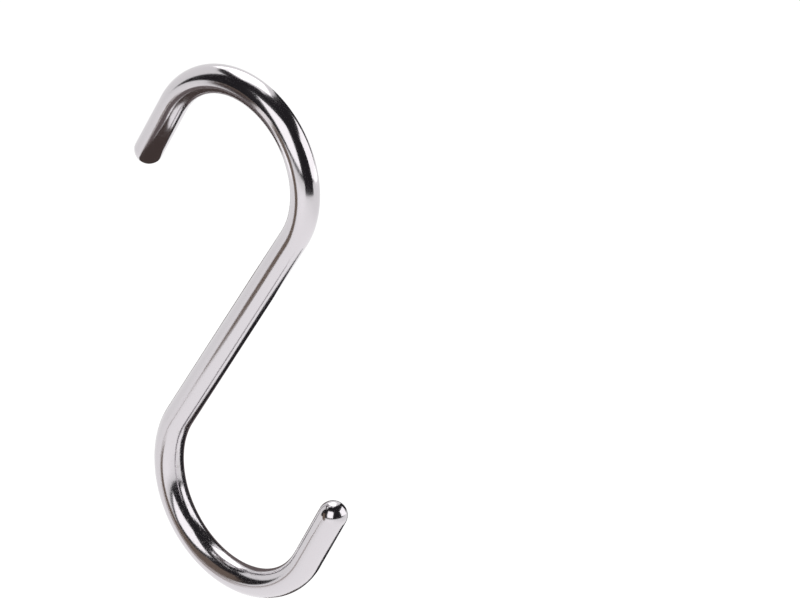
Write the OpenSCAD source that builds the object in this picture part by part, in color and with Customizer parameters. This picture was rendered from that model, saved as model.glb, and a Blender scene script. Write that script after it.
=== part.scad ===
// S hook bent from one length of round steel wire.
// It hangs upright with its wire in the XZ plane. The origin is the point inside the top
// of the upper bend, from which it hangs, and the lower bend opens towards +X.

/* [Wire] */
// Thickness of the round wire
wire_d = 4.5; // [3.5:0.1:8]

/* [Bends] */
// Inside radius of the upper bend, which the hook hangs by
upper_inside_r = 12; // [8:0.25:30]
// Inside radius of the lower bend, which carries the load
lower_inside_r = 13; // [8:0.25:30]
// Angle that the wire turns through in the upper bend
upper_turn = 183; // [150:1:190]
// Angle that the wire turns through in the lower bend
lower_turn = 183; // [150:1:190]

/* [Straights] */
// Length of the straight spine between the two bends
spine_l = 44; // [10:0.5:120]
// Lean of the spine from upright
spine_lean = 32.5; // [0:0.5:60]
// Straight wire between the upper bend and its domed tip
upper_end_l = 10.5; // [1:0.25:16]
// Straight wire between the lower bend and its domed tip
lower_end_l = 10.5; // [1:0.25:16]

/* [Hidden] */
$fn = 96;
half_turn = 180;
square_turn = 90;
wire_r = wire_d / 2;
// Radii of the bends at the middle of the wire
upper_r = upper_inside_r + wire_r;
lower_r = lower_inside_r + wire_r;
// Grinding and polishing leave the ends a hair slimmer than the wire in the bends
end_r = wire_r - 0.01;
// Length of each slimmer end that lies within the bend it grows out of
end_root = 0.2;

// Straight end of the wire, ground to a full round tip and turned about the wire's middle
module straight_end(length) {
    rotate_extrude() {
        translate([0, -end_root])
            square([end_r, end_root + length]);
        translate([0, length])
            intersection() {
                circle(r = end_r);
                square([end_r, end_r]);
            }
    }
}

// Bend about the origin from its +X side, with the straight end it runs out into
module bend(radius, turn, end_l) {
    rotate_extrude(angle = turn)
        translate([radius, 0])
            circle(r = wire_r);
    rotate([0, 0, turn])
        translate([radius, 0, 0])
            rotate([-square_turn, 0, 0])
                straight_end(end_l);
}

// The hook laid flat about the middle of its upper bend, with its spine along -Y
module flat_hook() {
    bend(upper_r, upper_turn, upper_end_l);
    translate([upper_r, 0, 0])
        rotate([square_turn, 0, 0])
            cylinder(h = spine_l, r = wire_r);
    translate([upper_r + lower_r, -spine_l, 0])
        rotate([0, 0, half_turn])
            bend(lower_r, lower_turn, lower_end_l);
}

module wire_hook() {
    color("silver")
        translate([0, 0, -upper_inside_r])
            rotate([square_turn, 0, 0])
                rotate([0, 0, -spine_lean])
                    flat_hook();
}

wire_hook();
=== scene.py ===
import math

import bmesh
import bpy
from mathutils import Matrix, Vector


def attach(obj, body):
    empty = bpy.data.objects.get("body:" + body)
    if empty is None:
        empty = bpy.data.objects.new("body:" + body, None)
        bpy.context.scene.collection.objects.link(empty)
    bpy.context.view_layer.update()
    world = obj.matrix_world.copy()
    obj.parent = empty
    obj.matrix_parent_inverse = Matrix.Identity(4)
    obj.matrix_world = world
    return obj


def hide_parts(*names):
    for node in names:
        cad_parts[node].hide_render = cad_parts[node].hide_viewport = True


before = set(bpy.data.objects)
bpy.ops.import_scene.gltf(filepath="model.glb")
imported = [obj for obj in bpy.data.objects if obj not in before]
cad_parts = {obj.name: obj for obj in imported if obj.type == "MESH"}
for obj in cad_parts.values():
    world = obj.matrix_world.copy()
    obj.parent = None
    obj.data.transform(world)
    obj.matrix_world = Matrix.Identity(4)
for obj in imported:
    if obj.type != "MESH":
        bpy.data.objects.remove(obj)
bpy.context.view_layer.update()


# The wire before it is bent: one straight length of drawn stainless steel, 4.5 mm thick, cut
# off and ground to a full round tip at both ends. Its mesh is half a profile, turned and
# mirrored, and it is kept straight first so that its drawing lines follow it round the bends.
WIRE_R = 0.00225
END_R = 0.00224
END_L = 0.0105
END_RUN = END_L + END_R
UPPER_R = 0.01425
LOWER_R = 0.01525
SPINE_L = 0.044
TURN = math.radians(183)
HALF_L = END_RUN + ((UPPER_R + LOWER_R) * TURN + SPINE_L) / 2
AROUND = 96
TIP_RINGS = 24
RING_GAP = 0.0004
SEAM_GAP = 1e-6
DOUBLE_GAP = 1e-7


def last_vert(made):
    return next(part for part in made["geom_last"] if isinstance(part, bmesh.types.BMVert))


wire = bmesh.new()
tip = wire.verts.new((0, 0, HALF_L))
quarter = bmesh.ops.spin(
    wire,
    geom=[tip],
    cent=(0, 0, HALF_L - END_R),
    axis=(0, 1, 0),
    angle=math.pi / 2,
    steps=TIP_RINGS,
)
side = bmesh.ops.extrude_vert_indiv(wire, verts=[last_vert(quarter)])
bmesh.ops.translate(wire, verts=side["verts"], vec=(0, 0, END_R - HALF_L))
bmesh.ops.subdivide_edges(wire, edges=side["edges"], cuts=int((HALF_L - END_R) / RING_GAP))
bmesh.ops.spin(
    wire,
    geom=wire.verts[:] + wire.edges[:],
    cent=(0, 0, 0),
    axis=(0, 0, 1),
    angle=2 * math.pi,
    steps=AROUND,
    use_merge=True,
)
half = wire.verts[:] + wire.edges[:] + wire.faces[:]
bmesh.ops.mirror(wire, geom=half, axis="Z", merge_dist=SEAM_GAP)
bmesh.ops.remove_doubles(wire, verts=wire.verts[:], dist=DOUBLE_GAP)
bmesh.ops.recalc_face_normals(wire, faces=wire.faces[:])


# The hook: the wire bent round two pins into an S in one plane, and polished like a mirror.
# Every ring of the straight wire is carried to its place on the bends. Two marks stay with
# the steel: where it lay in the straight wire, and how hard a pin pressed on it.
LEAN = math.radians(32.5)
SEAT_TO_CENTRE = 0.012
LOWER_CENTRE = Vector((UPPER_R + LOWER_R, -SPINE_L, 0))
OUT_OF_PLANE = Vector((0, 0, 1))
TO_MM = 1000
laid = (
    Matrix.Translation((0, 0, -SEAT_TO_CENTRE))
    @ Matrix.Rotation(math.pi / 2, 4, "X")
    @ Matrix.Rotation(-LEAN, 4, "Z")
)


def spoke(angle):
    return Vector((math.cos(angle), math.sin(angle), 0))


def place_on_hook(run):
    """Middle of the wire, its outward side and whether it is bent, so far from the upper tip."""
    run -= END_RUN
    if run < UPPER_R * TURN:
        angle = TURN - max(run, 0) / UPPER_R
        out = spoke(angle)
        return UPPER_R * out - min(run, 0) * spoke(angle + math.pi / 2), out, run > 0
    run -= UPPER_R * TURN
    if run < SPINE_L:
        return Vector((UPPER_R, -run, 0)), spoke(0), False
    run -= SPINE_L
    angle = math.pi + min(run, LOWER_R * TURN) / LOWER_R
    beyond = max(run - LOWER_R * TURN, 0)
    out = spoke(angle)
    return LOWER_CENTRE + LOWER_R * out + beyond * spoke(angle + math.pi / 2), -out, beyond == 0


drawn_at = wire.verts.layers.float_vector.new("drawn_at")
pressed = wire.verts.layers.float.new("pressed")
for vert in wire.verts:
    x, y, z = vert.co
    run = HALF_L - z
    middle, out, bent = place_on_hook(run)
    vert[drawn_at] = vert.co * TO_MM
    inner = -x if run < HALF_L else x
    vert[pressed] = max(inner / WIRE_R, 0) ** 2 if bent else 0
    ground = run < END_RUN or run > 2 * HALF_L - END_RUN
    if not ground:
        x, y = x * WIRE_R / END_R, y * WIRE_R / END_R
    vert.co = laid @ (middle + x * out - y * OUT_OF_PLANE)

hook_mesh = bpy.data.meshes.new("polished_wire_hook")
wire.to_mesh(hook_mesh)
wire.free()
for face in hook_mesh.polygons:
    face.use_smooth = True
hook = bpy.data.objects.new("polished_wire_hook", hook_mesh)
bpy.context.scene.collection.objects.link(hook)


class Flow:
    """A value on its way through a material's nodes."""

    def __init__(self, tree, socket=None):
        self.tree = tree
        self.socket = socket

    def node(self, kind, settings=None, inputs=None, out=0):
        made = self.tree.nodes.new(kind)
        for name, value in (settings or {}).items():
            setattr(made, name, value)
        for name, value in (inputs or {}).items():
            if isinstance(value, Flow):
                self.tree.links.new(value.socket, made.inputs[name])
            else:
                made.inputs[name].default_value = value
        return Flow(self.tree, made.outputs[out] if made.outputs else None)

    def math(self, operation, first, second=0.0):
        return self.node("ShaderNodeMath", {"operation": operation}, {0: first, 1: second})

    def __add__(self, other):
        return self.math("ADD", self, other)

    def __sub__(self, other):
        return self.math("SUBTRACT", self, other)

    def __rsub__(self, other):
        return self.math("SUBTRACT", other, self)

    def __mul__(self, other):
        return self.math("MULTIPLY", self, other)

    __radd__ = __add__
    __rmul__ = __mul__


# The hook's finish: drawing leaves fine lines along the wire, polishing takes it to a mirror
# with a little ripple and cloud in it, and the pins nick it inside the bends. Depths are in
# micrometres, and what roughens the mirror is added to its own roughness.
STEEL = (0.59, 0.565, 0.588, 1)
WORN_STEEL = (0.50, 0.47, 0.45, 1)
MIRROR = 0.115
CLOUD_ROUGHENS = 0.06
SCRATCH_ROUGHENS = 0.12
NICK_ROUGHENS = 0.18
LINE_DEPTH = 0.4
RIPPLE_DEPTH = 3.0
SCRATCH_DEPTH = 0.8
NICK_DEPTH = 2.5
NICK_WEAR = 0.5
SCRATCH_WEAR = 0.15
MICROMETRE = 1e-6

steel = bpy.data.materials.new("polished_steel")
steel.use_nodes = True
steel.node_tree.nodes.clear()
metal = Flow(steel.node_tree)
drawn = metal.node("ShaderNodeAttribute", {"attribute_name": "drawn_at"}, out="Vector")
pin_marks = metal.node("ShaderNodeAttribute", {"attribute_name": "pressed"}, out="Fac")


def stretched(across, along):
    """Places on the straight wire, in steps per millimetre across it and along it."""
    steps = (across, across, along)
    return metal.node("ShaderNodeVectorMath", {"operation": "MULTIPLY"}, {0: drawn, 1: steps})


def grain(across, along, detail, rough=0.5):
    place = stretched(across, along)
    return metal.node(
        "ShaderNodeTexNoise",
        inputs={"Vector": place, "Scale": 1.0, "Detail": detail, "Roughness": rough},
    )


def between(value, low, high):
    """0 below low, 1 above high, and a smooth step from one to the other."""
    return metal.node(
        "ShaderNodeMapRange",
        {"interpolation_type": "SMOOTHSTEP"},
        {"Value": value, "From Min": low, "From Max": high},
    )


drawing_lines = grain(across=4.0, along=0.10, detail=3.0)
ripple = grain(across=0.5, along=0.22, detail=1.0)
cloud = grain(across=0.35, along=0.12, detail=2.0)
scratches = between(grain(across=9.0, along=0.35, detail=2.0, rough=0.6), 0.66, 0.74)
nicks = between(grain(across=3.0, along=1.6, detail=2.0, rough=0.7), 0.58, 0.66) * pin_marks

roughness = (
    MIRROR + cloud * CLOUD_ROUGHENS + scratches * SCRATCH_ROUGHENS + nicks * NICK_ROUGHENS
)
height = (
    drawing_lines * LINE_DEPTH
    + ripple * RIPPLE_DEPTH
    - scratches * SCRATCH_DEPTH
    - nicks * NICK_DEPTH
)
bump = metal.node(
    "ShaderNodeBump",
    inputs={"Strength": 1.0, "Distance": MICROMETRE, "Height": height},
    out="Normal",
)
wear = nicks * NICK_WEAR + scratches * SCRATCH_WEAR
tint = metal.node(
    "ShaderNodeMix",
    {"data_type": "RGBA"},
    {"Factor": wear, "A": STEEL, "B": WORN_STEEL},
    out=2,
)
surface = metal.node(
    "ShaderNodeBsdfPrincipled",
    inputs={"Base Color": tint, "Metallic": 1.0, "Roughness": roughness, "Normal": bump},
)
metal.node("ShaderNodeOutputMaterial", inputs={"Surface": surface})
hook_mesh.materials.append(steel)
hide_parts("wire_hook")
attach(hook, "root")


# The floor: pale seamless paper well below the hook, which hangs free. It is white to the
# camera and in the steel, keeps its soft shading, and can't be seen from underneath.
FLOOR_Z = -0.42
FLOOR_R = 6
FLOOR_SIDES = 128
PAPER = (0.66, 0.635, 0.66, 1)
PAPER_LIFT = (0.55, 0.57, 0.55, 1)


def staged(name, shape, material):
    mesh = bpy.data.meshes.new(name)
    shape.to_mesh(mesh)
    shape.free()
    mesh.materials.append(material)
    thing = bpy.data.objects.new(name, mesh)
    bpy.context.scene.collection.objects.link(thing)
    return thing


def seen_directly(flow):
    """1 for what the camera sees, and for what it sees in metal or through glass, otherwise 0."""
    outputs = flow.node("ShaderNodeLightPath").socket.node.outputs
    straight, mirrored, through = (
        Flow(flow.tree, outputs["Is %s Ray" % kind])
        for kind in ("Camera", "Glossy", "Transmission")
    )
    return flow.math("MAXIMUM", flow.math("MAXIMUM", straight, mirrored), through)


paper = bpy.data.materials.new("floor_paper")
paper.use_nodes = True
paper.node_tree.nodes.clear()
sheet = Flow(paper.node_tree)
underside = sheet.node("ShaderNodeNewGeometry", out="Backfacing")
matt = sheet.node("ShaderNodeBsdfDiffuse", inputs={"Color": PAPER})
lift = sheet.node(
    "ShaderNodeEmission", inputs={"Color": PAPER_LIFT, "Strength": seen_directly(sheet)}
)
lit = sheet.node("ShaderNodeAddShader", inputs={0: matt, 1: lift})
clear = sheet.node("ShaderNodeBsdfTransparent")
both_sides = sheet.node("ShaderNodeMixShader", inputs={"Fac": underside, 1: lit, 2: clear})
sheet.node("ShaderNodeOutputMaterial", inputs={"Surface": both_sides})

disc = bmesh.new()
bmesh.ops.create_circle(disc, cap_ends=True, segments=FLOOR_SIDES, radius=FLOOR_R)
bmesh.ops.translate(disc, verts=disc.verts[:], vec=(0, 0, FLOOR_Z))
staged("floor", disc, paper)


# The studio: three softboxes, a dark room whose back is open to a pale backdrop, and plain
# cards from black to white close to the hook, all for the steel to mirror. The camera sees
# none of them, and the room and the cards light nothing else and throw no shadow.
HOOK_MIDDLE = Vector((0.001, 0, -0.039))
CARD_COLUMNS, CARD_ROWS = 48, 24


def toward(azimuth, elevation, distance):
    """Place at so many metres from the hook's middle, in a direction given in degrees."""
    a, e = math.radians(azimuth), math.radians(elevation)
    direction = Vector((math.cos(a) * math.cos(e), math.sin(a) * math.cos(e), math.sin(e)))
    return HOOK_MIDDLE + distance * direction


def at_mm(x, y, z):
    return Vector((x, y, z)) / TO_MM


def curved(distance, *corners):
    """A card bent round the hook's middle, with the azimuth and elevation of its corners."""
    return toward, [(azimuth, elevation, distance) for azimuth, elevation in corners]


def upright(y, *corners):
    """A flat upright card, with X and Z of its corners in millimetres."""
    return at_mm, [(x, y, z) for x, z in corners]


def level(z, *corners):
    """A flat level card, with X and Y of its corners in millimetres."""
    return at_mm, [(x, y, z) for x, y in corners]


def card(name, colour, lie):
    place, corners = lie
    low_left, low_right, high_right, high_left = (Vector(corner) for corner in corners)
    tone = bpy.data.materials.new(name)
    tone.use_nodes = True
    tone.node_tree.nodes.clear()
    plain = Flow(tone.node_tree)
    glow = plain.node("ShaderNodeEmission", inputs={"Color": (*colour, 1), "Strength": 1.0})
    plain.node("ShaderNodeOutputMaterial", inputs={"Surface": glow})
    shape = bmesh.new()
    bmesh.ops.create_grid(shape, x_segments=CARD_COLUMNS, y_segments=CARD_ROWS, size=1)
    for vert in shape.verts:
        across, up = (vert.co.x + 1) / 2, (vert.co.y + 1) / 2
        low = low_left.lerp(low_right, across)
        high = high_left.lerp(high_right, across)
        vert.co = place(*low.lerp(high, up))
    made = staged(name, shape, tone)
    made.visible_camera = False
    made.visible_diffuse = False
    made.visible_shadow = False
    made.visible_transmission = False


def softbox(name, azimuth, elevation, distance, wide, high, radiance, roll=0.0):
    lamp = bpy.data.lights.new(name, "AREA")
    lamp.shape = "RECTANGLE"
    lamp.size, lamp.size_y = wide, high
    lamp.energy = radiance * math.pi * wide * high
    thing = bpy.data.objects.new(name, lamp)
    bpy.context.scene.collection.objects.link(thing)
    thing.visible_camera = False
    thing.location = toward(azimuth, elevation, distance)
    aim = (HOOK_MIDDLE - thing.location).to_track_quat("-Z", "Y").to_matrix().to_4x4()
    rolled = Matrix.Rotation(math.radians(roll), 4, "Z")
    thing.matrix_world = Matrix.Translation(thing.location) @ aim @ rolled


BLACK = (0.022, 0.02, 0.023)
UMBER = (0.08, 0.06, 0.055)
GREY = (0.17, 0.14, 0.14)
BROWN = (0.20, 0.155, 0.125)
TAN = (0.52, 0.47, 0.45)
PALE = (1.3, 1.28, 1.27)
WHITE = (1.6, 1.6, 1.6)
ROOM = 2.6
BASE = 0.4
FLAG = 0.24
WALL = 0.14
MOUTH_Z = -18.5
BEHIND_Y = 33
SKIRT_Y = -60
card("room_front", BLACK, curved(ROOM, (-104, -8), (120, -8), (80, 62), (-104, 62)))
card("room_ceiling", BLACK, curved(ROOM, (-150, 60), (84, 60), (60, 86), (-150, 86)))
card("room_left", BLACK, curved(ROOM, (-152, -14), (-102, -8), (-102, 62), (-150, 62)))
card("back_arch", BLACK, curved(ROOM, (140, 38), (210, 43), (210, 62), (140, 44)))
card("brown_wall", BROWN, curved(WALL, (-127, -33), (-106, -41), (-106, 10), (-131, 10)))
card("brown_base", BROWN, curved(BASE, (-127, -24), (-106, -24), (-106, 0), (-127, 0)))
card("brown_skirt", BROWN, upright(SKIRT_Y, (-54, -109), (-47, -106), (-42, -99), (-49, -102)))
card("tan_skirt", TAN, upright(SKIRT_Y - 0.5, (-80, -142), (-56, -132), (-45, -101), (-66, -106)))
card("front_flag", BLACK, curved(FLAG, (-41, -12), (20, -12), (20, 52), (-38, 52)))
card("back_flag", BLACK, upright(BEHIND_Y, (-15, -120), (22, -120), (15, -66), (-15, -54)))
card("grey_flag", GREY, upright(BEHIND_Y, (-72, -88), (-15, -120), (-15, -54), (-72, -34)))
card("mouth_flag", UMBER, level(MOUTH_Z, (-21, -9), (-9, -11), (-9, 4), (-21, 4)))
card("mouth_grey", GREY, level(MOUTH_Z, (-21, -24), (-12, -20), (-12, -11), (-21, -9)))
card("mouth_white", WHITE, level(MOUTH_Z, (-11, -20), (-3, -20), (-3, -11), (-11, -11)))
card("arm_flag", UMBER, upright(-20, (-19, -16), (-14.5, -16), (-4, -2), (-19, -2)))
card("arm_light", PALE, upright(-30, (-34, -34), (-27, -32), (0, -3), (-7, -2)))
card("low_flag", UMBER, level(-120, (-18, BEHIND_Y), (8, BEHIND_Y), (3, 15), (-18, 15)))
softbox("softbox_left", -70, 24.5, distance=1.2, wide=1.02, high=1.14, radiance=1.6)
softbox("softbox_right", 51, 12, distance=0.5, wide=0.56, high=0.36, radiance=1.6, roll=-12)
softbox("softbox_back", 133, 58, distance=0.3, wide=0.23, high=0.25, radiance=1.5)

AMBIENT = 0.7
world = bpy.data.worlds.new("studio")
bpy.context.scene.world = world
world.use_nodes = True
world.node_tree.nodes.clear()
air = Flow(world.node_tree)
strength = AMBIENT + seen_directly(air) * (1 - AMBIENT)
backdrop = air.node("ShaderNodeBackground", inputs={"Color": (1, 1, 1, 1), "Strength": strength})
air.node("ShaderNodeOutputWorld", inputs={"Surface": backdrop})
bpy.context.scene.view_settings.view_transform = "Standard"


# The camera: a long lens, a little above the hook and well round to the side that its lower
# bend opens to. It is placed by the pixel where the hook's hanging point shows, which keeps
# the hook at the left of the frame.
FRAME_W, FRAME_H = 800, 600
VIEW_AZIMUTH = math.radians(41.97)
VIEW_ELEVATION = math.radians(25.42)
VIEW_DISTANCE = 1.8765
FOCAL_PX = 12564
SENSOR_W = 36
CLIP_NEAR, CLIP_FAR = 0.1, 20
HANG_POINT = Vector((0, 0, 0))
HANG_PX = (234.39, 96.0)
right = Vector((math.cos(VIEW_AZIMUTH), math.sin(VIEW_AZIMUTH), 0))
back = Vector((
    math.sin(VIEW_AZIMUTH) * math.cos(VIEW_ELEVATION),
    -math.cos(VIEW_AZIMUTH) * math.cos(VIEW_ELEVATION),
    math.sin(VIEW_ELEVATION),
))
up = back.cross(right)
lens = bpy.data.cameras.new("camera")
lens.sensor_width = SENSOR_W
lens.lens = FOCAL_PX * SENSOR_W / FRAME_W
lens.clip_start, lens.clip_end = CLIP_NEAR, CLIP_FAR
camera = bpy.data.objects.new("camera", lens)
bpy.context.scene.collection.objects.link(camera)
aside = (HANG_PX[0] - FRAME_W / 2) * VIEW_DISTANCE / FOCAL_PX
above = (FRAME_H / 2 - HANG_PX[1]) * VIEW_DISTANCE / FOCAL_PX
stand = HANG_POINT + back * VIEW_DISTANCE - right * aside - up * above
turned = Matrix((right, up, back)).transposed().to_4x4()
camera.matrix_world = Matrix.Translation(stand) @ turned
bpy.context.scene.camera = camera
